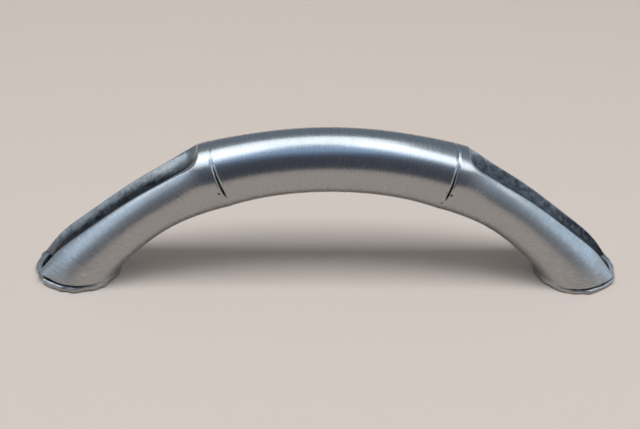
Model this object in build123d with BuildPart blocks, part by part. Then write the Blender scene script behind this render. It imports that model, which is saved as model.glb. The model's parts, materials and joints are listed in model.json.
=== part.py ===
"""Bridge pull handle: one cast body with a central bow, two scooped legs and two round feet.

Millimetres.  X runs along the handle, Z points away from the mounting face, Y is the depth.
The origin is on the mounting face, midway between the two feet.
"""
import math
import os

from build123d import *

os.makedirs("parts", exist_ok=True)

# ---- mounting ----
hole_spacing = 96.0             # centre to centre of the two tapped holes
screw_hole_diameter = 3.3       # tapping size of an M4 machine screw
screw_hole_depth = 4.6          # blind depth from the mounting face
screw_hole_chamfer = 0.35       # lead-in at the mouth of each hole

# ---- feet ----
foot_diameter = 16.7            # round flange of each foot
foot_shift = 0.35               # flange centre, inboard of the hole centre
foot_thickness = 1.35           # height of the flange
foot_edge_round = 0.6           # rounding of the flange rim
seam_height = 0.3               # height of the dark recess between leg and flange
seam_depth = 0.35               # how far that recess goes in under the leg
seam_depth_inner = 0.1          # ... and at the inner side, where it almost closes

# ---- bow ----
bow_radius = 70.0               # radius of the centre line of the bow
bow_height = 24.9               # centre line above the mounting face, in the middle
bar_diameter = 11.9             # thickness of the bow in the middle
knuckle_diameter = 12.6         # thickness of the bow where the ring grooves are
swell_power = 4                 # how late the bow thickens towards the grooves

# ---- ring grooves ----
groove_angle = 17.4             # angle from the middle of the bow to each groove
groove_depth = 0.45             # depth of the groove below the surface
groove_shoulder = 0.8           # half width of the groove, over its two rounded shoulders
groove_lip = 0.08               # height above the surface at which the shoulders start to fall

# ---- legs ----
leg_foot_length = 16.15         # footprint of the leg along X, where it stands on the flange
leg_foot_width = 16.0           # footprint of the leg along Y
leg_foot_shift = 1.0            # footprint centre, inboard of the hole centre
leg_waist = 10.9                # control width that narrows the leg below the groove
crest_run = (0.096, 0.208, 0.378, 0.770, 0.923)    # crest line, part of the way along
crest_drop = (0.039, 0.139, 0.287, 0.673, 0.852)   # ... and part of the way down
crest_end_angle = 62.0          # slope of the crest where it meets the foot
under_run = (0.434, 0.847)      # underside line, part of the way along
under_drop = (0.256, 0.742)     # ... and part of the way down
under_end_angle = 56.0          # slope of the underside where it meets the foot

# ---- scoop in the outer face of each leg ----
scoop_radius = 4.6              # radius of the hollow, across the leg
scoop_depth_top = 2.6           # depth below the crest line at the upper end
scoop_depth_foot = 1.7          # depth below the crest line at the foot
scoop_depth_fade = 3            # how soon the extra depth at the upper end fades out
scoop_rim_round = 0.2           # soft edge of the hollow, worn by polishing
scoop_start = 2.3               # from the groove to the upper end of the hollow
scoop_end_round = 3.0           # rounding of the upper end of the hollow
scoop_run_out = 9.0             # how far the cutter continues past the foot

# ---- how finely the lofts follow the lines ----
bow_stations = 5
leg_stations = 7
section_points = 8              # points around an oval
scoop_stations = 8

foot_x = hole_spacing / 2
bow_center_z = bow_height - bow_radius
bar_radius = bar_diameter / 2
knuckle_radius = knuckle_diameter / 2
groove_slope = math.radians(groove_angle)
seam_top = foot_thickness + seam_height


def on_bow(angle, radius):
    """Point in the XZ plane at an angle from the middle of the bow."""
    return (radius * math.sin(angle), bow_center_z + radius * math.cos(angle))


def cross_section(crest, under, half_width):
    """Closed oval between a crest point and an underside point, both (x, z)."""
    half_x = (crest[0] - under[0]) / 2
    half_z = (crest[1] - under[1]) / 2
    half_depth = math.hypot(half_x, half_z)
    plane = Plane(
        origin=((crest[0] + under[0]) / 2, 0, (crest[1] + under[1]) / 2),
        x_dir=(0, 1, 0),
        z_dir=(half_z, 0, -half_x),
    )
    angles = [2 * math.pi * i / section_points for i in range(section_points)]
    points = [(half_width * math.sin(a), half_depth * math.cos(a)) for a in angles]
    with BuildSketch(plane) as oval:
        with BuildLine():
            Spline(*points, periodic=True)
        make_face()
    return oval.sketch


# crest and underside of the leg, drawn in the XZ plane
crest_start = on_bow(groove_slope, bow_radius + knuckle_radius)
under_start = on_bow(groove_slope, bow_radius - knuckle_radius)
footprint_x = foot_x - leg_foot_shift
crest_end = (footprint_x + leg_foot_length / 2, seam_top)
under_end = (footprint_x - leg_foot_length / 2, seam_top)
start_direction = (math.cos(groove_slope), -math.sin(groove_slope))


def part_way(start, end, run, drop):
    """Points given as fractions of the way along and down from start to end."""
    return [
        (start[0] + (end[0] - start[0]) * r, start[1] + (end[1] - start[1]) * d)
        for r, d in zip(run, drop)
    ]


def down_at(angle):
    """Direction in the XZ plane that falls at an angle below X."""
    return (math.cos(math.radians(angle)), -math.sin(math.radians(angle)))


crest_points = [crest_start, *part_way(crest_start, crest_end, crest_run, crest_drop), crest_end]
under_points = [under_start, *part_way(under_start, under_end, under_run, under_drop), under_end]
with BuildLine() as crest_line:
    Spline(*crest_points, tangents=[start_direction, down_at(crest_end_angle)])
with BuildLine() as under_line:
    Spline(*under_points, tangents=[start_direction, down_at(under_end_angle)])
crest = crest_line.edges()[0]
under = under_line.edges()[0]


def half_width_at(u):
    """Half width of the leg, from the groove (0) to the foot (1)."""
    return (
        (1 - u) ** 2 * knuckle_radius
        + 2 * u * (1 - u) * leg_waist / 2
        + u ** 2 * leg_foot_width / 2
    )


# bow: a round bar on an arc, slightly thicker towards the grooves
bow_sections = []
for i in range(bow_stations):
    part = 2 * i / (bow_stations - 1) - 1
    radius = bar_radius + (knuckle_radius - bar_radius) * abs(part) ** swell_power
    outer = on_bow(groove_slope * part, bow_radius + radius)
    inner = on_bow(groove_slope * part, bow_radius - radius)
    bow_sections.append(cross_section(outer, inner, radius))
with BuildPart() as bow:
    loft(bow_sections)

# one leg, from the groove down to the recess above the flange
leg_sections = []
for i in range(leg_stations):
    # closer together at both ends, where the crest line bends most
    u = (1 - math.cos(math.pi * i / (leg_stations - 1))) / 2
    top = crest @ u
    bottom = under @ u
    leg_sections.append(cross_section((top.X, top.Y), (bottom.X, bottom.Y), half_width_at(u)))

# path of the scoop cutter, parallel to the crest line and outside it
scoop_u = scoop_start / crest.length
scoop_path_points = []
for i in range(scoop_stations):
    u = scoop_u + (1 - scoop_u) * i / (scoop_stations - 1)
    extra = (scoop_depth_top - scoop_depth_foot) * (1 - u) ** scoop_depth_fade
    depth = scoop_depth_foot + extra
    along = crest % u
    away = scoop_radius - depth
    scoop_path_points.append((crest @ u) + Vector(-along.Y, along.X) * away)
scoop_path_points.append(scoop_path_points[-1] + (crest % 1) * scoop_run_out)
scoop_path_xz = [(p.X, 0, p.Y) for p in scoop_path_points]


def scoop_cutter(radius, end_round):
    """Round-nosed cutter that follows the scoop path."""
    with BuildPart() as cutter:
        with BuildLine():
            path = Spline(*scoop_path_xz)
        with BuildSketch(Plane(origin=path @ 0, z_dir=path % 0)):
            Circle(radius)
        sweep()
        nose = cutter.faces().sort_by_distance(path @ 0)[0]
        fillet(nose.edges(), radius=end_round)
    return cutter.part


scoop = scoop_cutter(scoop_radius, scoop_end_round)
seam_scoop = scoop_cutter(scoop_radius + seam_depth, scoop_end_round)

with BuildPart() as leg:
    loft(leg_sections)
    add(scoop, mode=Mode.SUBTRACT)
    outside = leg.faces().sort_by(SortBy.AREA)[-1]
    rim = leg.edges(Select.LAST) & outside.edges()
    fillet(rim.filter_by(lambda edge: edge.center().Z > 2 * seam_top), radius=scoop_rim_round)

# neck in the recess between leg and flange, hardly set back at the inner side
neck_outer = crest_end[0] - seam_depth
neck_inner = under_end[0] + seam_depth_inner
with BuildPart() as neck:
    with BuildSketch(Plane.XY.offset(foot_thickness)):
        with Locations(((neck_outer + neck_inner) / 2, 0)):
            Ellipse((neck_outer - neck_inner) / 2, leg_foot_width / 2 - seam_depth)
    extrude(amount=seam_height)
    add(seam_scoop, mode=Mode.SUBTRACT)

# flange with its rounded rim
with BuildPart() as flange:
    with Locations((foot_x - foot_shift, 0, 0)):
        Cylinder(foot_diameter / 2, foot_thickness, align=(Align.CENTER, Align.CENTER, Align.MIN))
    fillet(flange.edges(), radius=foot_edge_round)

# blind tapped hole, from below
with BuildPart() as screw_hole:
    with Locations((foot_x, 0, 0)):
        Cylinder(
            screw_hole_diameter / 2, screw_hole_depth, align=(Align.CENTER, Align.CENTER, Align.MIN)
        )
        Cone(
            screw_hole_diameter / 2 + screw_hole_chamfer,
            screw_hole_diameter / 2,
            screw_hole_chamfer,
            align=(Align.CENTER, Align.CENTER, Align.MIN),
        )

# groove ring between two rounded shoulders, turned about the axis of the bar where the leg begins
groove_center = on_bow(groove_slope, bow_radius)
groove_axis = Axis((groove_center[0], 0, groove_center[1]), (start_direction[0], 0, start_direction[1]))
groove_plane = Plane(
    origin=(groove_center[0], 0, groove_center[1]),
    x_dir=(start_direction[0], 0, start_direction[1]),
    z_dir=(0, -1, 0),
)
groove_floor = (0, knuckle_radius - groove_depth)
shoulder_top = knuckle_radius + groove_lip
with BuildPart() as groove:
    with BuildSketch(groove_plane):
        with BuildLine():
            outboard = TangentArc((groove_shoulder, shoulder_top), groove_floor, tangent=(-1, 0))
            inboard = TangentArc((-groove_shoulder, shoulder_top), groove_floor, tangent=(1, 0))
            Line(outboard @ 0, inboard @ 0)
        make_face()
    revolve(axis=groove_axis)

with BuildPart() as side:
    add(leg.part)
    add(neck.part)
    add(flange.part)
    add(screw_hole.part, mode=Mode.SUBTRACT)

with BuildPart() as pull_handle:
    add(bow.part)
    add(side.part)
    mirror(side.part, about=Plane.YZ)
    add(groove.part, mode=Mode.SUBTRACT)
    mirror(groove.part, about=Plane.YZ, mode=Mode.SUBTRACT)

pull_handle.part.label = "pull_handle"
export_step(pull_handle.part, "parts/pull_handle.step")
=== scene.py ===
"""Bridge pull handle: one casting in brushed nickel with dark patina and painted shade in its
hollows, on a plain floor.

The casting is a single skin of rings that follows the handle from one foot to the other.
Every size is in metres, and the rings are worked out from the sizes in HandleSizes.
"""

import json
import math

import bmesh
import bpy
import numpy as np
from bpy.props import FloatProperty, FloatVectorProperty, IntProperty, PointerProperty
from bpy.types import Operator, Panel, PropertyGroup
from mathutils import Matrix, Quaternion, Vector


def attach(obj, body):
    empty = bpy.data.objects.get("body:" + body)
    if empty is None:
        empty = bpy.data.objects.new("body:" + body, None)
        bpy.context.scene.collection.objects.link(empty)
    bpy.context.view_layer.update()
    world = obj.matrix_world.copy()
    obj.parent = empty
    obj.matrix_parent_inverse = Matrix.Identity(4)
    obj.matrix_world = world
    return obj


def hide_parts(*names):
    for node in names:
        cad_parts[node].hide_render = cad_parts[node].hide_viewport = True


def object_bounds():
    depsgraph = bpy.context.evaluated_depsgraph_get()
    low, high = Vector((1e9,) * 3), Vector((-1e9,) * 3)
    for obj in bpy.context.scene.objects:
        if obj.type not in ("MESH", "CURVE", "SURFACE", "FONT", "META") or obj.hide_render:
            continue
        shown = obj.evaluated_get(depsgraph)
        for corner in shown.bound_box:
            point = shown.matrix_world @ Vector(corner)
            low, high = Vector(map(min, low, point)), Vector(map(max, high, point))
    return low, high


bl_info = {
    "name": "Bridge Pull Handle",
    "version": (1, 0, 0),
    "blender": (4, 5, 0),
    "location": "3D View > Sidebar > Handle",
    "description": "Builds a bridge pull handle with its tapped feet, and a plain stage for it",
    "category": "Object",
}

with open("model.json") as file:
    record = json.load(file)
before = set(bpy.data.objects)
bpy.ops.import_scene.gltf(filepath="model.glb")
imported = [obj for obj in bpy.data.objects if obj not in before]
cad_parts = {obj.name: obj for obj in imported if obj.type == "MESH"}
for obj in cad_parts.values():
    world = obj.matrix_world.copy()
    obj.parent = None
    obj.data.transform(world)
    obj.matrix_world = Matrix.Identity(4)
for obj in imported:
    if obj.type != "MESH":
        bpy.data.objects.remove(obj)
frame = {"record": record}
cad_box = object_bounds()

MM = 0.001
MOUNTS = {mount["name"]: mount for mount in frame["record"]["mounts"]}
HOLE_SPACING = MOUNTS["screw_holes"]["dims"]["spacing_x_mm"] * MM
HOLE_RADIUS = MOUNTS["screw_holes"]["dims"]["hole_r_mm"] * MM


def length(name, description, millimetres):
    """A size that the sidebar shows in scene units."""
    return FloatProperty(
        name=name, description=description, default=millimetres * MM, unit="LENGTH", precision=5
    )


def angle(name, description, degrees):
    """An angle that the sidebar shows in degrees."""
    return FloatProperty(
        name=name, description=description, default=math.radians(degrees), subtype="ANGLE"
    )


def colour(name, description, *default):
    """A scene-linear colour with a picker."""
    return FloatVectorProperty(
        name=name, description=description, default=default, subtype="COLOR", min=0.0, max=1.0
    )


def power(name, where, watts):
    """The power of a softbox."""
    description = f"Power of the softbox {where}"
    return FloatProperty(name=name, description=description, default=watts, unit="POWER")


class HandleSizes(PropertyGroup):
    """Sizes of the casting."""

    bow_radius: length("Bow Radius", "Radius of the centre line of the bow", 70.0)
    bow_height: length("Bow Height", "Centre line of the bow above the feet", 24.9)
    bar_diameter: length("Bar Diameter", "Thickness of the bow in the middle", 11.9)
    knuckle_diameter: length("Knuckle Diameter", "Thickness at the ring grooves", 12.6)
    groove_angle: angle("Groove Angle", "From the middle of the bow to a ring groove", 17.4)
    groove_depth: length("Groove Depth", "Depth of a ring groove where it is deepest", 0.4)
    groove_reach: length("Groove Reach", "Half width of a groove with its shoulders", 0.55)
    groove_skew: length("Groove Skew", "Lean of the left groove towards the middle", 1.3)
    leg_length: length("Leg Footprint Length", "Leg along X where it meets the foot", 15.2)
    leg_width: length("Leg Footprint Width", "Leg along Y where it meets the foot", 16.0)
    leg_shift: length("Leg Shift", "Footprint centre, inboard of the hole", 0.52)
    corner_flare: length("Corner Flare", "How far the ridges flare out at the foot", 0.8)
    corner_height: length("Corner Height", "Height over which the ridges flare out", 4.0)
    leg_waist: length("Leg Waist", "Control width that narrows the leg", 10.9)
    crest_slope: angle("Crest Slope", "Slope of the crest line at the foot", 62.0)
    under_slope: angle("Underside Slope", "Slope of the underside at the foot", 56.0)
    scoop_radius: length("Scoop Radius", "Radius of the hollow across the leg", 4.6)
    scoop_depth_top: length("Scoop Depth, Top", "Depth of the hollow at its upper end", 2.6)
    scoop_depth_foot: length("Scoop Depth, Foot", "Depth of the hollow at the foot", 1.7)
    scoop_start: length("Scoop Start", "From the groove to the hollow", 2.3)
    scoop_nose: length("Scoop Nose", "Rounding of the upper end of the hollow", 3.0)
    scoop_rim: length("Scoop Rim", "Softness of the edge of the hollow", 0.6)
    scoop_blend: length("Scoop Blend", "The same at the upper end of the hollow", 2.2)
    foot_diameter: length("Foot Diameter", "Round flange of a foot", 16.0)
    foot_shift: length("Foot Shift", "Flange centre, inboard of the hole", 0.08)
    foot_thickness: length("Foot Thickness", "Height of the flange", 1.35)
    foot_round: length("Foot Round", "Rounding of the flange rim", 0.6)
    bead_height: length("Bead Height", "Raised bead at the outer end of the flange", 0.55)
    bead_inset: length("Bead Inset", "From the edge of the flange to the bead", 1.35)
    seam_drop: length("Seam Drop", "How much lower the right seam runs in front", 0.45)
    rim_unevenness: length("Rim Unevenness", "How far the flange strays from a circle", 0.22)
    seam_wobble: length("Seam Wobble", "Unevenness of the seam height", 0.11)
    seam_height: length("Seam Height", "Height of the recess above the flange", 0.36)
    seam_depth: length("Seam Depth", "How far the recess goes in under the leg", 0.35)
    hole_depth: length("Hole Depth", "Depth of a screw hole", 4.6)
    thread_pitch: length("Thread Pitch", "Pitch of the screw thread", 0.7)
    thread_depth: length("Thread Depth", "Depth of the screw thread", 0.35)
    thread_runout: length("Thread Run-out", "Plain end of the hole above the thread", 0.7)


class HandleFinish(PropertyGroup):
    """Colours and texture of the metal."""

    nickel: colour("Nickel", "Brushed metal", 0.415, 0.42, 0.42)
    # dark colour of the patina, also used as painted shade in the hollows and in the recess under
    # each leg
    patina: colour("Patina", "Dark layer left in the recesses", 0.014, 0.016, 0.023)
    lump_height: length("Lump Height", "Unevenness of the cast flange rim", 0.7)
    lump_size: length("Lump Size", "Spacing of the lumps on the rim", 1.7)
    wave_height: length("Wave Height", "Slight waviness left by hand polishing", 0.03)
    wave_size: length("Wave Size", "Spacing of the waves", 9.0)
    seed: IntProperty(name="Seed", description="Seed of the unevenness", default=4)


class HandleStage(PropertyGroup):
    """Camera, lamps and floor."""

    azimuth: angle("Camera Azimuth", "Turn of the camera from the front", -3.69)
    elevation: angle("Camera Elevation", "Height angle of the camera", 33.69)
    roll: angle("Camera Roll", "Tilt of the camera about its view line", 2.39)
    distance: length("Camera Distance", "From the camera to its target", 245.1)
    target_x: length("Target X", "Place along X that the camera looks at", -2.11)
    target_z: length("Target Z", "Height that the camera looks at", 12.77)
    lens: FloatProperty(name="Lens", description="Focal length in millimetres", default=73.125)
    floor: colour("Floor", "Plain pale floor", 0.78, 0.73, 0.695)
    daylight: colour("Daylight", "Tint of the softboxes that the metal shows", 0.90, 0.96, 1.0)
    white: colour("White", "Tint of the softbox that lights the floor", 1.0, 0.98, 0.96)
    sky: colour("Sky", "Tint of the softboxes at both sides", 0.58, 0.78, 1.0)
    overhead_lamp: power("Overhead Lamp", "overhead", 2.7)
    front_lamp: power("Front Lamp", "in front", 3.5)
    upper_left_lamp: power("Upper Left Lamp", "high at the left", 0.78)
    upper_right_lamp: power("Upper Right Lamp", "high at the right", 1.4)
    left_lamp: power("Left Lamp", "at the left", 0.65)
    right_lamp: power("Right Lamp", "at the right", 1.3)
    left_edge_lamp: power("Left Edge Lamp", "for the left ridge", 0.20)
    right_edge_lamp: power("Right Edge Lamp", "for the right ridge", 0.42)
    room_back: colour("Room, Behind", "Light from behind the handle", 0.23, 0.29, 0.36)
    room_front: colour("Room, Front", "Dimmest light, from straight in front", 0.08, 0.09, 0.125)
    room_side: colour("Room, Sides", "Light from the sides", 0.40, 0.46, 0.54)
    room_top: colour("Room, Top", "Sky light from high in front", 0.38, 0.62, 1.0)
    room_fill: colour("Room, Fill", "Soft light of the room on the floor", 0.24, 0.22, 0.21)
    backdrop: colour("Backdrop", "Plain pale background above the floor", 0.58, 0.54, 0.52)


# ---- lines of the casting ----

# shape of the crest and underside between groove and foot: shares of the way along and down
CREST_SHAPE = ((0.096, 0.039), (0.208, 0.139), (0.378, 0.287), (0.770, 0.673), (0.923, 0.852))
UNDER_SHAPE = ((0.434, 0.256), (0.847, 0.742))
SWELL_POWER = 4       # how late the bow swells towards its grooves
SCOOP_FADE = 3        # how soon the hollow loses its extra depth
SCOOP_SAMPLES = 400   # along the axis of the hollow
MARCH_STEPS = 40      # towards the hollow, each as far as is free

# how open a groove is, from crest to underside: angle in degrees, share of its depth
GROOVE_OPEN = ((0, 0.30), (25, 0.18), (38, 0.35), (55, 0.8), (98, 1.0), (110, 0.35), (118, 0.0))


def smooth_line(points, start, end, samples=500):
    """Cubic line through points with given end directions, as evenly spaced samples."""
    points = np.array(points)
    steps = np.linalg.norm(np.diff(points, axis=0), axis=1)
    knots = np.concatenate([[0.0], np.cumsum(steps)])
    count = len(points)
    matrix = np.zeros((count, count))
    right = np.zeros((count, 2))
    matrix[0, 0] = matrix[-1, -1] = 1.0
    right[0], right[-1] = start, end
    for i in range(1, count - 1):
        before, after = steps[i - 1], steps[i]
        matrix[i, i - 1 : i + 2] = after, 2 * (before + after), before
        rise_before = (points[i] - points[i - 1]) / before
        rise_after = (points[i + 1] - points[i]) / after
        right[i] = 3 * (after * rise_before + before * rise_after)
    slopes = np.linalg.solve(matrix, right)
    fine = np.linspace(0, knots[-1], samples * 4)
    span = np.clip(np.searchsorted(knots, fine, side="right") - 1, 0, count - 2)
    width = steps[span][:, None]
    t = (fine[:, None] - knots[span][:, None]) / width
    line = (
        (2 * t**3 - 3 * t**2 + 1) * points[span]
        + (t**3 - 2 * t**2 + t) * width * slopes[span]
        + (3 * t**2 - 2 * t**3) * points[span + 1]
        + (t**3 - t**2) * width * slopes[span + 1]
    )
    return even(line, samples)


def line_length(line):
    """Length along a line up to each of its samples."""
    return np.concatenate([[0.0], np.cumsum(np.linalg.norm(np.diff(line, axis=0), axis=1))])


def points_at(line, marks, at):
    """Points of a line where the marks along its samples reach the given values."""
    return np.stack([np.interp(at, marks, line[:, k]) for k in (0, 1)], axis=-1)


def even(line, samples):
    """The same line with evenly spaced samples."""
    reach = line_length(line)
    return points_at(line, reach, np.linspace(0, reach[-1], samples))


def part_way(line, fraction):
    """Points at fractions of the length of an evenly sampled line."""
    return points_at(line, np.linspace(0, 1, len(line)), fraction)


def falling(slope):
    """Direction in XZ that falls at an angle below X."""
    return np.array([math.cos(slope), -math.sin(slope)])


class Casting:
    """Lines and derived sizes of the half of the casting on the +X side, in XZ."""

    def __init__(self, sizes):
        self.s = sizes
        self.hole_x = HOLE_SPACING / 2
        self.bar_radius = sizes.bar_diameter / 2
        self.knuckle_radius = sizes.knuckle_diameter / 2
        self.seam_top = sizes.foot_thickness + sizes.seam_height
        self.footprint_x = self.hole_x - sizes.leg_shift
        self.crest = self.leg_line(1, CREST_SHAPE, sizes.crest_slope)
        self.under = self.leg_line(-1, UNDER_SHAPE, sizes.under_slope)
        self.crest_length = line_length(self.crest)[-1]
        self.scoop_path = self.path_of_scoop()

    def on_bow(self, turn, outward):
        """Point at an angle from the middle of the bow, off its centre line."""
        radius = self.s.bow_radius + outward
        centre_z = self.s.bow_height - self.s.bow_radius
        return np.array([radius * math.sin(turn), centre_z + radius * math.cos(turn)])

    def leg_line(self, outward, shape, slope):
        """Line of the leg from the groove to the foot: its crest (1) or its underside (-1)."""
        start = self.on_bow(self.s.groove_angle, outward * self.knuckle_radius)
        end = np.array([self.footprint_x + outward * self.s.leg_length / 2, self.seam_top])
        points = [start, *(start + (end - start) * np.array(share) for share in shape), end]
        return smooth_line(points, falling(self.s.groove_angle), falling(slope))

    def half_width(self, u):
        """Half width of the leg, from the groove (0) to the foot (1)."""
        return (
            (1 - u) ** 2 * self.knuckle_radius
            + 2 * u * (1 - u) * self.s.leg_waist / 2
            + u**2 * self.s.leg_width / 2
        )

    def path_of_scoop(self):
        """Axis of the round hollow, outside the crest line."""
        sizes = self.s
        u = np.linspace(sizes.scoop_start / self.crest_length, 1, SCOOP_SAMPLES // 2)
        step = 0.002
        ahead = part_way(self.crest, np.minimum(u + step, 1))
        behind = part_way(self.crest, u - step)
        along = (ahead - behind) / np.linalg.norm(ahead - behind, axis=1)[:, None]
        extra = (sizes.scoop_depth_top - sizes.scoop_depth_foot) * (1 - u) ** SCOOP_FADE
        away = sizes.scoop_radius - sizes.scoop_depth_foot - extra
        outward = np.stack([-along[:, 1], along[:, 0]], axis=1)
        path = part_way(self.crest, u) + outward * away[:, None]
        run_out = path[-1] + along[-1] * 2 * sizes.scoop_radius
        return even(np.vstack([path, run_out]), SCOOP_SAMPLES)

    def scoop_gap(self, points, widening=0.0):
        """Distance from points to the hollow, negative inside it."""
        radius = self.s.scoop_radius + widening
        nose = self.s.scoop_nose
        flat = points[..., [0, 2]]
        away = np.min(np.linalg.norm(flat[..., None, :] - self.scoop_path, axis=-1), axis=-1)
        radial = np.hypot(away, points[..., 1])
        start = self.scoop_path[0]
        direction = self.scoop_path[4] - start
        axial = (flat - start) @ (direction / np.linalg.norm(direction)) + widening
        across = radial - (radius - nose)
        inward = nose - axial
        rounded = (
            np.hypot(np.maximum(across, 0), np.maximum(inward, 0))
            + np.minimum(np.maximum(across, inward), 0)
            - nose
        )
        return np.where(axial >= nose, radial - radius, rounded)

    def reach_to_scoop(self, origin, direction, limit, widening=0.0):
        """How far a point can move in a direction before it meets the hollow."""
        reach = np.zeros(origin.shape[:-1])
        for _ in range(MARCH_STEPS):
            gap = self.scoop_gap(origin + direction * reach[..., None], widening)
            reach = np.minimum(reach + np.maximum(gap, 0), limit)
        return reach


def soft_minimum(a, b, softness):
    """The smaller of two values, rounded where they cross."""
    blend = np.maximum(softness - np.abs(a - b), 0) / softness
    return np.minimum(a, b) - blend**2 * softness / 4


# ---- rings of the casting ----

CROWN_SAMPLES = 40       # over the crown of a section, where the hollow and its rim are
FLANK_SAMPLES = 34       # down the flank and under
CROWN_END = 0.8          # angle at which the crown ends
GATHERING = 1.4          # how much closer together the rings are near a groove
BOW_STATIONS = (44, 32)        # rings along the bow and just before the groove
LEG_STATIONS = (20, 44, 110)   # rings just after it, at the hollow's start and down the leg

# angles around an oval section: 0 is the crest, pi the underside
CROWN = np.linspace(0, CROWN_END, CROWN_SAMPLES, endpoint=False)
HALF = np.concatenate([CROWN, np.linspace(CROWN_END, math.pi, FLANK_SAMPLES)])
ANGLES = np.concatenate([HALF, 2 * math.pi - HALF[-2:0:-1]])


def oval_ring(crest, under, half_width):
    """Oval between a crest and an underside point, with the direction from one to the other."""
    centre = (crest + under) / 2
    half_height = np.linalg.norm(crest - under) / 2
    upward = (crest - under) / (2 * half_height)
    return centre, upward, half_height * np.cos(ANGLES), half_width * np.sin(ANGLES)


def placed(centre, upward, height, side):
    """Points of a ring from heights and side steps in its own plane."""
    return np.stack([centre[0] + upward[0] * height, side, centre[1] + upward[1] * height], axis=1)


def groove_stations(count, reach):
    """Distances from the groove at 0 that are closer together near it."""
    return reach * np.linspace(0, 1, count) ** GATHERING


def bow_rings(cast):
    """Rings from the middle of the bow up to the ring groove."""
    end = cast.s.groove_angle
    dense = (1.4 * cast.s.groove_reach + cast.s.groove_skew) / cast.s.bow_radius
    along_bow, to_groove = BOW_STATIONS
    turns = np.concatenate([
        np.linspace(0, end - dense, along_bow, endpoint=False),
        end - groove_stations(to_groove, dense)[:0:-1],
    ])
    rings = []
    for turn in turns:
        swell = (cast.knuckle_radius - cast.bar_radius) * (turn / end) ** SWELL_POWER
        radius = cast.bar_radius + swell
        crest, under = cast.on_bow(turn, radius), cast.on_bow(turn, -radius)
        rings.append(placed(*oval_ring(crest, under, radius)))
    return rings


def leg_rings(cast):
    """Rings from the ring groove down to the recess above the flange, with the hollow."""
    groove_end = 1.6 * cast.s.groove_reach / cast.crest_length
    nose_start = 0.9 * cast.s.scoop_start / cast.crest_length
    nose_end = nose_start + 1.4 * cast.s.scoop_nose / cast.crest_length
    from_groove, to_hollow, down_leg = LEG_STATIONS
    stations = np.concatenate([
        groove_stations(from_groove, groove_end)[:-1],
        np.linspace(groove_end, nose_end, to_hollow, endpoint=False),
        np.linspace(nose_end, 1, down_leg),
    ])
    parts = []
    for u in stations:
        crest, under = part_way(cast.crest, u), part_way(cast.under, u)
        parts.append(oval_ring(crest, under, cast.half_width(u)))
    centres, upward, height, side = map(np.array, zip(*parts))
    centres, upward = (np.insert(flat, 1, 0, axis=1)[:, None] for flat in (centres, upward))
    origin = centres + np.stack([0 * side, side, 0 * side], axis=2)
    top = height.max(axis=1)[:, None]
    reach = cast.reach_to_scoop(origin, upward, 2 * top)
    met = np.where(reach < 2 * top - MM * 0.001, reach, 4 * top)
    fade = np.exp(-(((stations - nose_start) / (nose_end - nose_start)) ** 2))[:, None]
    softness = rim_softness(cast) + fade * cast.s.scoop_blend
    height = np.where(np.cos(ANGLES) > 0, soft_minimum(height, met, softness), height)
    return list(origin + upward * height[..., None])


def rim_softness(cast):
    """How rounded the hollow's rim is at each point: most along the front ridge."""
    return cast.s.scoop_rim * (0.75 - 0.4 * np.sin(ANGLES))


def groove_share(cast, ring, side):
    """How open the groove is at each point, and the steps along and outward to it."""
    flat = ring[:, [0, 2]] - cast.on_bow(cast.s.groove_angle, 0.0)
    axis = falling(cast.s.groove_angle)
    along = flat @ axis
    outward = flat - along[:, None] * axis
    turn = np.arctan2(np.abs(ring[:, 1]), outward @ np.array([-axis[1], axis[0]]))
    if side < 0:
        along = along + cast.s.groove_skew * np.sin(turn / 2) ** 2
    return np.interp(np.degrees(turn), *zip(*GROOVE_OPEN)), along, outward


def cut_groove(cast, rings, side):
    """Sink the ring groove, with its rounded shoulders, into the rings beside it."""
    sizes = cast.s
    for ring in rings:
        share, along, outward = groove_share(cast, ring, side)
        near = np.clip(1 - np.abs(along) / sizes.groove_reach, 0, 1)
        sink = sizes.groove_depth * share * near**1.5
        shrink = sink / np.hypot(np.linalg.norm(outward, axis=1), ring[:, 1])
        ring[:, [0, 2]] -= outward * shrink[:, None]
        ring[:, 1] *= 1 - shrink
    return rings


def flat_ring(x, z, half_x, half_y):
    """Level oval ring around (x, 0, z)."""
    return placed((x, z), (1, 0), half_x * np.cos(ANGLES), half_y * np.sin(ANGLES))


def notched_ring(cast, x, z, half_x, half_y, widening):
    """Level oval ring that steps back where the hollow runs out over the foot."""
    ring = flat_ring(x, z, half_x, half_y)
    origin = placed((x, z), (0, 0), 0 * ANGLES, ring[:, 1])
    limit = half_x * 2
    reach = cast.reach_to_scoop(origin, np.array([1.0, 0, 0]), limit, widening)
    met = np.where(reach < limit - MM * 0.001, reach, 2 * limit)
    out = soft_minimum(ring[:, 0] - x, met, rim_softness(cast))
    ring[:, 0] = np.where(np.cos(ANGLES) > 0, x + out, ring[:, 0])
    return ring


# waves around the flange: how many, and where they start on the left and on the right foot
RIM_WAVES = ((5, 0.4, 3.6), (9, 2.9, 0.8), (16, 1.7, 4.4), (23, 5.1, 2.2))


def rim_lumps(cast, side):
    """Radial unevenness of the cast flange, different on each foot, and most at the front."""
    waves = sum(np.sin(wave[0] * ANGLES + wave[1 if side < 0 else 2]) for wave in RIM_WAVES)
    front = 0.45 + 0.55 * np.clip(-np.sin(ANGLES), 0, 1)
    return cast.s.rim_unevenness * (1.0 if side < 0 else 0.6) * front * waves / 2


# shares of the height of the recess, one ring each
NECK_STEPS = (0.0, 0.5, 1.0)

# rings up the bead: how far inside its crest and how much of its height
BEAD_STEPS = ((1.0, 0.0), (0.35, 0.7), (0.0, 1.0))
BEAD_LEAST = 0.2      # width that the ledge keeps where there is no bead
BEAD_ON_RIM = 0.4     # share of the bead's height that the rim takes
ROUND_STEPS = 8       # rings in each quarter round of the rim


def draw_in(ring, core, share):
    """Draw a ring in towards a core ring in X and Y, to shares of the way between them."""
    ring[:, :2] = core[:, :2] + (ring[:, :2] - core[:, :2]) * share


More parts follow.
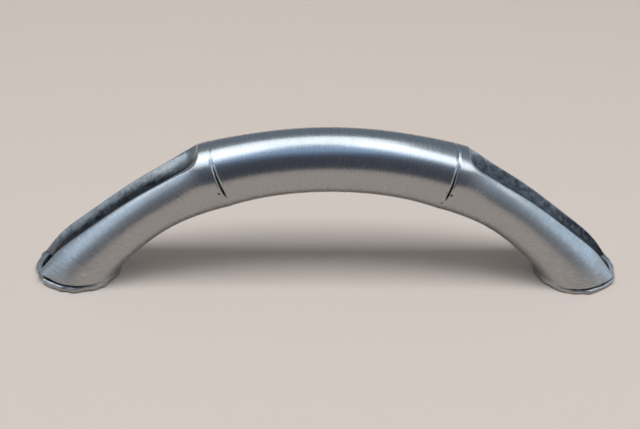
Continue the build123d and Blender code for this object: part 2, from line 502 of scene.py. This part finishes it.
def foot_rings(cast, side):
    """Rings of the recess, the flange and the screw hole."""
    sizes = cast.s
    lumps = rim_lumps(cast, side)
    half = np.array([sizes.leg_length / 2, sizes.leg_width / 2])
    leg_end = notched_ring(cast, cast.footprint_x, cast.seam_top, *half, 0.0)
    # the recess closes, and the ledge of the flange narrows, towards the inner side of the foot
    closing = np.clip(0.65 + 0.9 * np.cos(ANGLES), 0.05, 1)[:, None]
    apart = np.clip(0.8 + 1.2 * np.cos(ANGLES), 0, 1)[:, None]

    rings = []
    for share in NECK_STEPS:
        z = cast.seam_top - share * sizes.seam_height
        neck_x = cast.footprint_x - sizes.seam_depth
        ring = notched_ring(cast, neck_x, z, *(half - sizes.seam_depth), sizes.seam_depth)
        draw_in(ring, leg_end, closing)
        rings.append(ring)

    neck = rings[-1]
    flange_x = cast.hole_x - sizes.foot_shift
    flange = sizes.foot_diameter / 2
    soft = sizes.foot_round
    bead = bead_share()
    crest = flange - sizes.bead_inset * (1 + np.sin(ANGLES))
    for inset, lift in BEAD_STEPS:
        radius = crest - inset * sizes.bead_height
        ring = flat_ring(flange_x, sizes.foot_thickness, radius, radius)
        ring[:, 2] += bead * lift * sizes.bead_height
        out = np.maximum(bead, BEAD_LEAST * (1.5 - inset))[:, None]
        draw_in(ring, neck, out * apart)
        rings.append(ring)

    for turn in np.linspace(math.pi / 2, 0, ROUND_STEPS):
        radius = flange - soft + soft * math.cos(turn) + lumps
        z = sizes.foot_thickness - soft + soft * math.sin(turn)
        ring = flat_ring(flange_x, z, radius, radius)
        draw_in(ring, leg_end, apart)
        ring[:, 2] += bead * sizes.bead_height * BEAD_ON_RIM * math.sin(turn)
        rings.append(ring)
    for turn in np.linspace(0, -math.pi / 2, ROUND_STEPS)[1:]:
        radius = flange - soft + soft * math.cos(turn) + lumps
        rings.append(flat_ring(flange_x, soft + soft * math.sin(turn), radius, radius))

    mouth = HOLE_RADIUS + sizes.thread_depth
    between = (flange + mouth) / 2
    rings.append(flat_ring((flange_x + cast.hole_x) / 2, 0, between, between))
    thread_top = sizes.hole_depth - sizes.thread_runout
    wall = [(mouth, 0), (mouth, thread_top)]
    wall += [(HOLE_RADIUS, thread_top), (HOLE_RADIUS, sizes.hole_depth)]
    return rings + [flat_ring(cast.hole_x, z, radius, radius) for radius, z in wall]


def bead_share():
    """Share of the bead's height around the flange: all of it at the outer end."""
    outer = np.clip((0.62 - np.abs(np.sin(ANGLES))) / 0.2, 0, 1) * (np.cos(ANGLES) > 0)
    return outer**2 * (3 - 2 * outer)


BACK_FLARE = 0.3      # share of the front ridge's flare that the back ridge has
SIDE_FLARE = 0.3      # how far a ridge goes sideways as it goes outward


def flare_corners(cast, ring):
    """Push the ends of the two ridges outward where they stand on the foot."""
    sizes = cast.s
    low = np.clip(1 - (ring[:, 2] - cast.seam_top) / sizes.corner_height, 0, 1) ** 2
    beside = (np.abs(ring[:, 1]) / sizes.scoop_radius - 0.88) / 0.3
    outside = np.clip((ring[:, 0] - cast.hole_x) / (3 * MM), 0, 1)
    flare = sizes.corner_flare * low * np.exp(-beside**2) * outside
    flare = np.where(ring[:, 1] > 0, BACK_FLARE * flare, flare)
    ring[:, 0] += flare
    ring[:, 1] += SIDE_FLARE * flare * np.sign(ring[:, 1])


# height over which the leg follows the seam's rise and fall
SEAM_REACH = 6 * MM


def settle_seam(cast, ring, side):
    """Let the seam rise and fall around the foot, and run lower in front of the right leg."""
    sizes = cast.s
    turn = np.arctan2(ring[:, 1], ring[:, 0] - cast.hole_x)
    wobble = 0.6 * np.sin(5 * turn + side) + 0.4 * np.sin(11 * turn + 2.0 * side)
    lift = sizes.seam_wobble * wobble
    if side > 0:
        lift = lift - sizes.seam_drop * np.clip(-np.sin(turn) + 0.3 * np.cos(turn), 0, 1)
    z = ring[:, 2]
    above = np.clip(1 - (z - cast.seam_top) / SEAM_REACH, 0, 1) ** 2
    share = np.where(z < cast.seam_top, z / cast.seam_top, above)
    outside = np.hypot(ring[:, 0] - cast.hole_x, ring[:, 1]) > HOLE_RADIUS + 2 * sizes.thread_depth
    ring[:, 2] += lift * share * outside


def half_of_casting(cast, side):
    """Rings, and patina with painted shade, from the middle of the bow to the screw hole of one
    foot, as on +X.
    """
    bow, leg = bow_rings(cast), leg_rings(cast)
    body = cut_groove(cast, bow + leg, side)
    foot = foot_rings(cast, side)
    marks = patina_and_shade_marks(cast, body, foot, side)
    for ring in leg + foot[: len(NECK_STEPS)]:
        flare_corners(cast, ring)
    for ring in leg + foot:
        settle_seam(cast, ring, side)
    return body + foot, marks


MIRROR = np.array([-1, 1, 1])    # brings a ring to the -X side


def casting_mesh(cast):
    """Skin over all rings, with a brushing map and a layer of patina and painted shade."""
    right, right_marks = half_of_casting(cast, 1)
    left, left_marks = half_of_casting(cast, -1)
    rings = [ring * MIRROR for ring in reversed(left[1:])] + right
    marks = list(reversed(left_marks[1:])) + right_marks
    around = len(ANGLES)
    points = np.concatenate(rings)
    hole_tops = [(side * cast.hole_x, 0, cast.s.hole_depth) for side in (-1, 1)]
    last = (len(rings) - 1) * around
    steps = [(j, (j + 1) % around) for j in range(around)]
    faces = []
    for i in range(0, last, around):
        faces += [(i + k, i + j, i + around + j, i + around + k) for j, k in steps]
    for j, k in steps:
        faces.append((j, k, len(points)))
        faces.append((last + k, last + j, len(points) + 1))
    mesh = bpy.data.meshes.new("casting")
    mesh.from_pydata([*map(tuple, points), *hole_tops], [], faces)
    mesh.update()
    add_brushing_map(mesh, rings)
    # layer of patina and painted shade
    layer = mesh.attributes.new("patina", "FLOAT", "POINT")
    values = np.concatenate(marks + [[0.0, 0.0]])
    layer.data.foreach_set("value", values.astype(np.float32))
    merge_touching(mesh)
    mesh.polygons.foreach_set("use_smooth", [True] * len(mesh.polygons))
    mesh.set_sharp_from_angle(angle=math.radians(50))
    return mesh


def merge_touching(mesh):
    """Make one point of those that meet where the recess closes under the leg."""
    work = bmesh.new()
    work.from_mesh(mesh)
    bmesh.ops.remove_doubles(work, verts=work.verts, dist=0.001 * MM)
    work.to_mesh(mesh)
    work.free()


# length of the brushing map around the bar
GIRTH = 38 * MM


def whole_numbers(items, name):
    """One whole number of each item of a mesh."""
    values = np.empty(len(items), int)
    items.foreach_get(name, values)
    return values


def add_brushing_map(mesh, rings):
    """UV map in metres: U along the handle, V around it, so that brush lines run around."""
    along = line_length(np.array([ring.mean(axis=0) for ring in rings]))
    along -= along[-1] / 2
    girth = ANGLES / (2 * math.pi) * GIRTH
    corners = whole_numbers(mesh.loops, "vertex_index")
    u = along[np.minimum(corners // len(ANGLES), len(rings) - 1)]
    v = girth[corners % len(ANGLES)]
    starts = whole_numbers(mesh.polygons, "loop_start")
    for start, total in zip(starts, whole_numbers(mesh.polygons, "loop_total")):
        part = v[start : start + total]
        if part.max() - part.min() > GIRTH / 2:
            v[start : start + total] = np.where(part < GIRTH / 2, part + GIRTH, part)
    layer = mesh.uv_layers.new(name="brushing")
    layer.data.foreach_set("uv", np.stack([u, v], axis=1).ravel().astype(np.float32))


# painted shade with patina in the recess below the leg and on the flange's ledge, then a light
# dirty layer on the rim: how many rings, how dark; the rings after them are bare
FOOT_MARKS = ((3, 1.0), (2, 0.9), (16, 0.22))


def groove_mark(cast, ring, side):
    """How dark each point is in the ring groove."""
    share, along, _ = groove_share(cast, ring, side)
    near = np.clip(1.9 - np.abs(along) / (0.25 * cast.s.groove_reach), 0, 1)
    return share**1.5 * near


def hollow_patina_and_shade(cast, ring, side):
    """How dark each point is in the hollow: patina with painted shade and painted reflection. It
    is darker along the front of the left hollow, darker towards the foot and a little lighter
    towards the back wall in the right one, and reaches further round the rim near the upper end,
    most at the right.
    """
    begun = np.hypot(*(ring[:, [0, 2]] - cast.scoop_path[0]).T) / (2.2 * cast.s.scoop_radius)
    begun = np.clip(begun - 0.3, 0, 1)
    close = (0.08 + (0.5 if side > 0 else 0.1) * np.clip(1 - begun / 0.4, 0, 1)) * MM
    hollow = np.clip(1 - cast.scoop_gap(ring) / close, 0, 1) * (ring[:, 0] > 0)
    if side < 0:
        # painted shade: dark along the front of the left hollow, lighter towards its back wall
        edge = (-1.6 + 2.5 * begun) * MM
        return hollow * (0.85 - 0.58 * np.clip((ring[:, 1] - edge) / (2.4 * MM), 0, 1))
    # painted shade: darker towards the foot, a little lighter towards the back wall
    low_end = np.clip(1 - ring[:, 2] / (14 * MM), 0, 1)
    return hollow * (0.73 + 0.22 * low_end - 0.04 * np.clip(ring[:, 1] / (3 * MM), -1, 1))


def patina_and_shade_marks(cast, body, foot, side):
    """How dark each point is on one side, patina with painted shade: 1 in the recess, less in the
    groove and the hollow; the groove's is patina alone.
    """
    inner = np.clip(0.9 + 1.3 * np.cos(ANGLES), 0, 1)
    edge = 0.2 * MM
    marks = []
    for ring in body:
        # painted shade with patina at the foot of the leg, just above the recess
        low = inner * np.clip((cast.seam_top + edge - ring[:, 2]) / edge, 0, 1)
        dark = np.maximum(groove_mark(cast, ring, side), hollow_patina_and_shade(cast, ring, side))
        marks.append(np.maximum(dark, low))
    for count, share in FOOT_MARKS:
        marks += [share * inner] * count
    bare = len(body) + len(foot) - len(marks)
    return marks + [np.zeros(len(ANGLES))] * bare


# ---- node helpers ----


def feed(tree, socket, value):
    """Give a socket a link or a plain value."""
    if isinstance(value, bpy.types.NodeSocket):
        tree.links.new(value, socket)
    else:
        socket.default_value = value


def add_node(tree, kind, inputs=None, **settings):
    """A node with its settings and with its inputs, each a link or a plain value."""
    node = tree.nodes.new(kind)
    for key, value in settings.items():
        setattr(node, key, value)
    for key, value in (inputs or {}).items():
        feed(tree, node.inputs[key], value)
    return node


def maths(tree, operation, *values):
    """Output of a Math node whose inputs are links or numbers."""
    inputs = dict(enumerate(values))
    return add_node(tree, "ShaderNodeMath", inputs, operation=operation).outputs[0]


def added(tree, base, *parts):
    """A value with shares of other values added."""
    for value, share in parts:
        base = maths(tree, "MULTIPLY_ADD", value, share, base)
    return base


def ramp(tree, value, start, end, low=0.0, high=1.0):
    """Smooth rise from low to high while a value goes from start to end."""
    inputs = {"Value": value, "From Min": start, "From Max": end, "To Min": low, "To Max": high}
    node = add_node(tree, "ShaderNodeMapRange", inputs, interpolation_type="SMOOTHSTEP")
    return node.outputs["Result"]


def mixed(tree, factor, *colours):
    """Output of a mix of two colours, each a link or a plain colour."""
    node = add_node(tree, "ShaderNodeMix", {"Factor": factor}, data_type="RGBA")
    for socket, colour in zip(node.inputs[6:8], colours):
        linked = isinstance(colour, bpy.types.NodeSocket)
        feed(tree, socket, colour if linked else (*colour, 1.0))
    return node.outputs[2]


# ---- materials ----


def new_material(name, settings):
    """Material whose shader has the given settings. Returns it, its tree and its shader."""
    material = bpy.data.materials.new(name)
    material.use_nodes = True
    shader = material.node_tree.nodes["Principled BSDF"]
    for label, value in settings.items():
        shader.inputs[label].default_value = value
    return material, material.node_tree, shader


def grain(tree, vector, scale, detail, roughness=0.5):
    """Noise between 0 and 1 on a vector."""
    inputs = {"Vector": vector, "Scale": scale, "Detail": detail, "Roughness": roughness}
    return add_node(tree, "ShaderNodeTexNoise", inputs).outputs["Fac"]


# pits: angle along the bow and angle around it from the crest, in degrees, and radius in mm
PITS = (
    (-17.5, 94, 0.20), (-4.6, 25, 0.13), (3.1, 83, 0.13),
    (16.9, 90, 0.14), (17.8, 93, 0.22), (17.1, 116, 0.20), (-21.0, 62, 0.13), (9.5, 58, 0.10),
)


def pits(tree, place, cast):
    """1 inside the small pits of the casting, 0 elsewhere."""
    total = None
    for along, around, radius in PITS:
        around = math.radians(around)
        flat = cast.on_bow(math.radians(along), cast.knuckle_radius * math.cos(around))
        centre = (flat[0], -cast.knuckle_radius * math.sin(around), flat[1])
        gap = add_node(tree, "ShaderNodeVectorMath", {0: place, 1: centre}, operation="DISTANCE")
        spot = ramp(tree, gap.outputs["Value"], 1.5 * radius * MM, 0.7 * radius * MM)
        total = spot if total is None else maths(tree, "MAXIMUM", total, spot)
    return total


def drawn_out(tree, uv, share):
    """The brushing map with V shortened, so that noise on it runs in lines around the bar."""
    inputs = {"Vector": uv, "Scale": (1.0, share, 1.0)}
    return add_node(tree, "ShaderNodeMapping", inputs).outputs["Vector"]


def shade(tint, level):
    """A colour made darker or lighter."""
    return tuple(channel * level for channel in tint)


# noises of the metal: waves in a metre, detail and roughness
FINE_LINES = (6000.0, 3.0)
BROAD_LINES = (2200.0, 4.0, 0.6)
SHORT_LINES = (3000.0, 3.0, 0.6)
STAINS = (900.0, 5.0, 0.65)
CLOUDS = (150.0, 4.0)
LINE_SHARE = 0.03     # share that V is shortened to, which draws out the brush lines
SHORT_SHARE = 0.18    # the same for the short marks on the legs
RAGGEDNESS = 1.6      # how far stains break up the edge of the patina and painted shade
ROUGHNESS = 0.20      # of the metal, before its lines and stains add to it
LINE_DEPTH = 0.01 * MM    # of the bump


def brushed_nickel(finish, cast):
    """Nickel with brush lines around the bar, dark patina and painted shade in the recesses, and a
    few pits.
    """
    material, tree, shader = new_material("brushed_nickel", {"Metallic": 1.0})
    uv = add_node(tree, "ShaderNodeUVMap", uv_map="brushing").outputs["UV"]
    lines = drawn_out(tree, uv, LINE_SHARE)
    fine = grain(tree, lines, *FINE_LINES)
    broad = grain(tree, lines, *BROAD_LINES)
    short = grain(tree, drawn_out(tree, uv, SHORT_SHARE), *SHORT_LINES)

    place = add_node(tree, "ShaderNodeTexCoord").outputs["Object"]
    along = add_node(tree, "ShaderNodeSeparateXYZ", {0: place}).outputs["X"]
    groove_x = cast.on_bow(cast.s.groove_angle, 0)[0]
    on_leg = ramp(tree, maths(tree, "ABSOLUTE", along), groove_x, cast.hole_x)
    stain = grain(tree, place, *STAINS)
    cloud = grain(tree, place, *CLOUDS)

    # the mesh's layer of patina and painted shade, broken up by stains at its edge
    layer = add_node(tree, "ShaderNodeAttribute", attribute_name="patina").outputs["Fac"]
    ragged = added(tree, -RAGGEDNESS, (stain, 2 * RAGGEDNESS))
    ragged = added(tree, layer, (ragged, maths(tree, "MINIMUM", layer, 0.25)))
    dark = ramp(tree, ragged, 0.05, 0.95)
    dark = maths(tree, "MAXIMUM", dark, pits(tree, place, cast))

    tint = shade(finish.nickel, 0.93)
    metal = mixed(tree, ramp(tree, broad, 0.3, 0.7), finish.nickel, tint)
    metal = mixed(tree, ramp(tree, cloud, 0.4, 0.75, 0.0, 0.5), metal, tint)
    for limit, level in ((0.7, 1.22), (0.3, 0.84)):
        fleck = maths(tree, "MULTIPLY", ramp(tree, short, 0.5, limit), on_leg)
        metal = mixed(tree, fleck, metal, shade(finish.nickel, level))
    # dark patina and painted shade over the metal
    feed(tree, shader.inputs["Base Color"], mixed(tree, dark, metal, finish.patina))

    rough = added(tree, ROUGHNESS, (fine, 0.12), (on_leg, 0.09), (layer, 0.25))
    feed(tree, shader.inputs["Roughness"], rough)

    marks = maths(tree, "MULTIPLY", short, on_leg)
    height = added(tree, fine, (broad, 0.35), (marks, 17.0), (dark, -2.0))
    inputs = {"Strength": 0.115, "Distance": LINE_DEPTH, "Height": height}
    feed(tree, shader.inputs["Normal"], add_node(tree, "ShaderNodeBump", inputs).outputs["Normal"])
    return material


def cut_thread_metal(finish):
    """Bare bright metal of the cut thread."""
    material, tree, shader = new_material("cut_thread", {"Metallic": 1.0})
    place = add_node(tree, "ShaderNodeTexCoord").outputs["Object"]
    chatter = grain(tree, place, 4000.0, 2.0)
    worn = shade(finish.nickel, 0.6)
    feed(tree, shader.inputs["Base Color"], mixed(tree, chatter, finish.nickel, worn))
    feed(tree, shader.inputs["Roughness"], added(tree, 0.25, (chatter, 0.2)))
    return material


def floor_paint(stage):
    """Plain pale matt floor."""
    settings = {"Base Color": (*stage.floor, 1.0), "Roughness": 0.9, "Specular IOR Level": 0.1}
    return new_material("pale_floor", settings)[0]


# ---- geometry node trees ----


def new_tree(name, numbers, whole_numbers=()):
    """Geometry node tree with a mesh, named numbers and a material as inputs, and a mesh out."""
    kinds = {
        "Geometry": "NodeSocketGeometry",
        **dict.fromkeys(numbers, "NodeSocketFloat"),
        **dict.fromkeys(whole_numbers, "NodeSocketInt"),
        "Material": "NodeSocketMaterial",
    }
    tree = bpy.data.node_groups.new(name, "GeometryNodeTree")
    for label, kind in kinds.items():
        tree.interface.new_socket(label, in_out="INPUT", socket_type=kind)
    tree.interface.new_socket("Geometry", in_out="OUTPUT", socket_type=kinds["Geometry"])
    return tree, tree.nodes.new("NodeGroupInput"), tree.nodes.new("NodeGroupOutput")


def finish_tree(tree, geometry, material, end):
    """End a tree with real instances that wear the material."""
    realize = add_node(tree, "GeometryNodeRealizeInstances", {0: geometry})
    inputs = {"Geometry": realize.outputs[0], "Material": material}
    dress = add_node(tree, "GeometryNodeSetMaterial", inputs)
    tree.links.new(dress.outputs[0], end.inputs["Geometry"])
    return tree


def apply_tree(piece, tree, values):
    """Run a tree on a piece with the given input values, and keep the plain mesh."""
    modifier = piece.modifiers.new(tree.name, "NODES")
    modifier.node_group = tree
    items = tree.interface.items_tree
    sockets = {item.name: item.identifier for item in items if item.in_out == "INPUT"}
    for label, value in values.items():
        modifier[sockets[label]] = value
    bpy.context.view_layer.update()
    evaluated = piece.evaluated_get(bpy.context.evaluated_depsgraph_get())
    mesh = bpy.data.meshes.new_from_object(evaluated)
    piece.modifiers.clear()
    piece.data = mesh


# points below this height belong to the flat underside and stay
SOLE_HEIGHT = 0.02 * MM


def uneven_tree():
    """Tree that pushes points along their normals: lumps on the rim, slow waves elsewhere."""
    numbers = ("Lump Height", "Lump Size", "Wave Height", "Wave Size", "Rim Top")
    tree, start, end = new_tree("uneven_casting", numbers, ["Seed"])
    given = start.outputs
    place = add_node(tree, "GeometryNodeInputPosition").outputs[0]
    normal = add_node(tree, "GeometryNodeInputNormal").outputs[0]
    z = add_node(tree, "ShaderNodeSeparateXYZ", {0: place}).outputs["Z"]

    def bumps(size, height):
        scale = maths(tree, "DIVIDE", 1.0, given[size])
        inputs = {"Vector": place, "W": given["Seed"], "Scale": scale, "Detail": 2.0}
        texture = add_node(tree, "ShaderNodeTexNoise", inputs, noise_dimensions="4D")
        centred = maths(tree, "SUBTRACT", 0.5, texture.outputs["Fac"])
        return maths(tree, "MULTIPLY", centred, given[height])

    above = maths(tree, "GREATER_THAN", z, SOLE_HEIGHT)
    below = maths(tree, "LESS_THAN", z, given["Rim Top"])
    rim = maths(tree, "MULTIPLY", above, below)
    free = maths(tree, "SUBTRACT", 1.0, below)
    lumps = maths(tree, "MULTIPLY", bumps("Lump Size", "Lump Height"), rim)
    waves = maths(tree, "MULTIPLY", bumps("Wave Size", "Wave Height"), free)
    inputs = {0: normal, "Scale": maths(tree, "ADD", lumps, waves)}
    push = add_node(tree, "ShaderNodeVectorMath", inputs, operation="SCALE")
    inputs = {"Geometry": given["Geometry"], "Offset": push.outputs[0]}
    move = add_node(tree, "GeometryNodeSetPosition", inputs)
    return finish_tree(tree, move.outputs[0], given["Material"], end)


# width of the thread's ridge as a share of its pitch
RIDGE_SHARE = 0.8


def thread_tree():
    """Tree that winds a ridge around the wall of both screw holes."""
    numbers = ("Spacing", "Wall Radius", "Thread Depth", "Pitch", "Turns", "Start Height")
    tree, start, end = new_tree("cut_threads", numbers)
    given = start.outputs
    helix = add_node(tree, "GeometryNodeCurveSpiral", {
        "Resolution": 48,
        "Rotations": given["Turns"],
        "Start Radius": given["Wall Radius"],
        "End Radius": given["Wall Radius"],
        "Height": maths(tree, "MULTIPLY", given["Turns"], given["Pitch"]),
    })
    inputs = {"Curve": helix.outputs[0]}
    upright = add_node(tree, "GeometryNodeSetCurveNormal", inputs, mode="Z_UP")
    inputs = {
        "Width": maths(tree, "MULTIPLY", given["Pitch"], RIDGE_SHARE),
        "Bottom Height": given["Thread Depth"],
        "Top Height": given["Thread Depth"],
    }
    ridge = add_node(tree, "GeometryNodeCurvePrimitiveQuadrilateral", inputs, mode="KITE")
    wind = add_node(tree, "GeometryNodeCurveToMesh", {
        "Curve": upright.outputs[0],
        "Profile Curve": ridge.outputs[0],
        "Fill Caps": True,
    })
    inputs = {"Count": 2}
    for side, key in ((-0.5, "Start Location"), (0.5, "Offset")):
        x = maths(tree, "MULTIPLY", given["Spacing"], side)
        corner = {"X": x, "Z": given["Start Height"]}
        inputs[key] = add_node(tree, "ShaderNodeCombineXYZ", corner).outputs[0]
    span = add_node(tree, "GeometryNodeMeshLine", inputs, mode="END_POINTS")
    inputs = {"Points": span.outputs[0], "Instance": wind.outputs[0]}
    copies = add_node(tree, "GeometryNodeInstanceOnPoints", inputs)
    return finish_tree(tree, copies.outputs[0], given["Material"], end)


def keep_in_box(piece, box):
    """Bring points that the lumps push out of a box back to its sides."""
    points = np.empty(len(piece.data.vertices) * 3)
    piece.data.vertices.foreach_get("co", points)
    points = np.clip(points.reshape(-1, 3), *box)
    piece.data.vertices.foreach_set("co", points.ravel())
    piece.data.update()


def new_object(name, data):
    """Object at the origin, in the scene."""
    item = bpy.data.objects.new(name, data)
    bpy.context.scene.collection.objects.link(item)
    return item


def settle(piece):
    """Fasten a finished piece to the handle's body."""
    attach(piece, "root")


# ---- operators ----


class HANDLE_OT_casting(Operator):
    """Build the one-piece casting: bow, ring grooves, scooped legs and round feet"""

    bl_idname = "handle.casting"
    bl_label = "Casting"

    def execute(self, context):
        sizes, finish = context.scene.handle_sizes, context.scene.handle_finish
        cast = Casting(sizes)
        piece = new_object("casting", casting_mesh(cast))
        apply_tree(piece, uneven_tree(), {
            "Lump Height": finish.lump_height,
            "Lump Size": finish.lump_size,
            "Wave Height": finish.wave_height,
            "Wave Size": finish.wave_size,
            "Rim Top": sizes.foot_thickness + sizes.seam_height / 2,
            "Seed": finish.seed,
            "Material": brushed_nickel(finish, cast),
        })
        keep_in_box(piece, cad_box)
        settle(piece)
        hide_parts("pull_handle")
        return {"FINISHED"}


class HANDLE_OT_threads(Operator):
    """Wind the screw thread inside the hole of each foot"""

    bl_idname = "handle.threads"
    bl_label = "Screw Threads"

    def execute(self, context):
        sizes, finish = context.scene.handle_sizes, context.scene.handle_finish
        piece = new_object("screw_threads", bpy.data.meshes.new("screw_threads"))
        depth = sizes.hole_depth - sizes.thread_runout - sizes.thread_pitch
        apply_tree(piece, thread_tree(), {
            "Spacing": HOLE_SPACING,
            "Wall Radius": HOLE_RADIUS + sizes.thread_depth,
            "Thread Depth": sizes.thread_depth,
            "Pitch": sizes.thread_pitch,
            "Turns": depth / sizes.thread_pitch,
            "Start Height": sizes.thread_pitch / 2,
            "Material": cut_thread_metal(finish),
        })
        settle(piece)
        return {"FINISHED"}


class HANDLE_OT_stage(Operator):
    """Set up the floor, the softboxes, the room light and the camera"""

    bl_idname = "handle.stage"
    bl_label = "Stage"

    def execute(self, context):
        stage = context.scene.handle_stage
        add_floor(stage)
        for softbox in SOFTBOXES:
            add_softbox(stage, *softbox)
        add_room(stage)
        add_camera(context, stage)
        context.scene.view_settings.view_transform = "Standard"
        return {"FINISHED"}


# from the middle of the floor to its edge
FLOOR_REACH = 3.0


def add_floor(stage):
    """Wide flat floor under the feet."""
    mesh = bpy.data.meshes.new("floor")
    far = FLOOR_REACH
    corners = [(-far, -far, 0), (far, -far, 0), (far, far, 0), (-far, far, 0)]
    mesh.from_pydata(corners, [], [(0, 1, 2, 3)])
    mesh.materials.append(floor_paint(stage))
    floor = new_object("floor", mesh)


# the point that the side softboxes face
MIDDLE = (0.0, 0.0, 0.015)

# softboxes: name, place, the point faced, width and depth, turn about that line, and tint
SOFTBOXES = (
    ("overhead", (-0.24, 0.16, 0.62), (-0.24, 0.16, 0.0), (0.96, 0.39), 0.0, "daylight"),
    ("front", (0.0, -0.14, 0.66), (0.0, 0.0, 0.0), (0.9, 0.3), 0.0, "white"),
    ("upper_left", (-0.37, -0.12, 0.615), (-0.37, -0.12, 0.0), (0.46, 0.26), 0.62, "daylight"),
    ("upper_right", (0.40, -0.13, 0.615), (0.40, -0.13, 0.0), (0.62, 0.28), -0.55, "daylight"),
    ("left", (-0.77, -0.11, 0.33), MIDDLE, (0.60, 0.35), 0.0, "sky"),
    ("right", (0.80, 0.20, 0.19), MIDDLE, (1.10, 0.30), 0.0, "sky"),
    ("left_edge", (-0.72, -0.02, 0.50), MIDDLE, (0.20, 0.16), 0.0, "daylight"),
    ("right_edge", (0.72, -0.06, 0.52), MIDDLE, (0.28, 0.18), 0.0, "daylight"),
)


def aim(holder, place, away, turn):
    """Put a lamp or camera in place with its back to a direction, turned about that line."""
    holder.location = place
    facing = away.to_track_quat("Z", "Y") @ Quaternion((0, 0, 1), turn)
    holder.rotation_euler = facing.to_euler()


def add_softbox(stage, name, place, target, size, turn, tint):
    """Rectangular softbox: the front one lights the floor, the others show in the metal."""
    lamp = bpy.data.lights.new(f"{name}_softbox", "AREA")
    lamp.shape = "RECTANGLE"
    lamp.size, lamp.size_y = size
    lamp.energy = getattr(stage, f"{name}_lamp")
    lamp.color = getattr(stage, tint)
    holder = new_object(lamp.name, lamp)
    aim(holder, place, Vector(place) - Vector(target), turn)
    holder.visible_diffuse = name == "front"
    holder.visible_glossy = name != "front"


def add_room(stage):
    """Dim room that the metal shows, with a soft fill for the floor."""
    world = bpy.data.worlds.new("room")
    bpy.context.scene.world = world
    world.use_nodes = True
    tree = world.node_tree
    direction = add_node(tree, "ShaderNodeTexCoord").outputs["Generated"]
    x, y, z = add_node(tree, "ShaderNodeSeparateXYZ", {0: direction}).outputs
    beside = ramp(tree, maths(tree, "ABSOLUTE", x), 0.3, 0.95)
    front = mixed(tree, beside, stage.room_front, stage.room_side)
    front = mixed(tree, ramp(tree, z, 0.72, 0.92), front, stage.room_top)
    behind = ramp(tree, y, -0.35, 0.25)
    room = mixed(tree, behind, front, stage.room_back)
    path = add_node(tree, "ShaderNodeLightPath").outputs
    room = mixed(tree, path["Is Glossy Ray"], stage.room_fill, room)
    room = mixed(tree, path["Is Camera Ray"], room, stage.backdrop)
    feed(tree, tree.nodes["Background"].inputs["Color"], room)


def add_camera(context, stage):
    """Camera that looks down on the handle from the front."""
    flat = math.cos(stage.elevation)
    away = Vector((
        math.sin(stage.azimuth) * flat,
        -math.cos(stage.azimuth) * flat,
        math.sin(stage.elevation),
    ))
    camera = bpy.data.cameras.new("camera")
    camera.lens = stage.lens
    camera.clip_start = 0.01
    holder = new_object("camera", camera)
    place = Vector((stage.target_x, 0, stage.target_z)) + away * stage.distance
    aim(holder, place, away, stage.roll)
    context.scene.camera = holder


GROUPS = {"handle_sizes": HandleSizes, "handle_finish": HandleFinish, "handle_stage": HandleStage}
OPERATORS = (HANDLE_OT_casting, HANDLE_OT_threads, HANDLE_OT_stage)


class HANDLE_PT_panel(Panel):
    """Sizes, finish and stage of the handle"""

    bl_idname = "HANDLE_PT_panel"
    bl_label = "Bridge Pull Handle"
    bl_space_type = "VIEW_3D"
    bl_region_type = "UI"
    bl_category = "Handle"

    def draw(self, context):
        layout = self.layout
        for operator in OPERATORS:
            layout.operator(operator.bl_idname)
        for group in GROUPS:
            values = getattr(context.scene, group)
            box = layout.box()
            for name in values.__annotations__:
                box.prop(values, name)


CLASSES = (*GROUPS.values(), *OPERATORS, HANDLE_PT_panel)


def register():
    for item in CLASSES:
        bpy.utils.register_class(item)
    for name, group in GROUPS.items():
        setattr(bpy.types.Scene, name, PointerProperty(type=group))


def unregister():
    for name in GROUPS:
        delattr(bpy.types.Scene, name)
    for item in reversed(CLASSES):
        bpy.utils.unregister_class(item)


def main():
    register()
    bpy.ops.handle.casting()
    bpy.ops.handle.threads()
    bpy.ops.handle.stage()


if __name__ == "__main__":
    main()
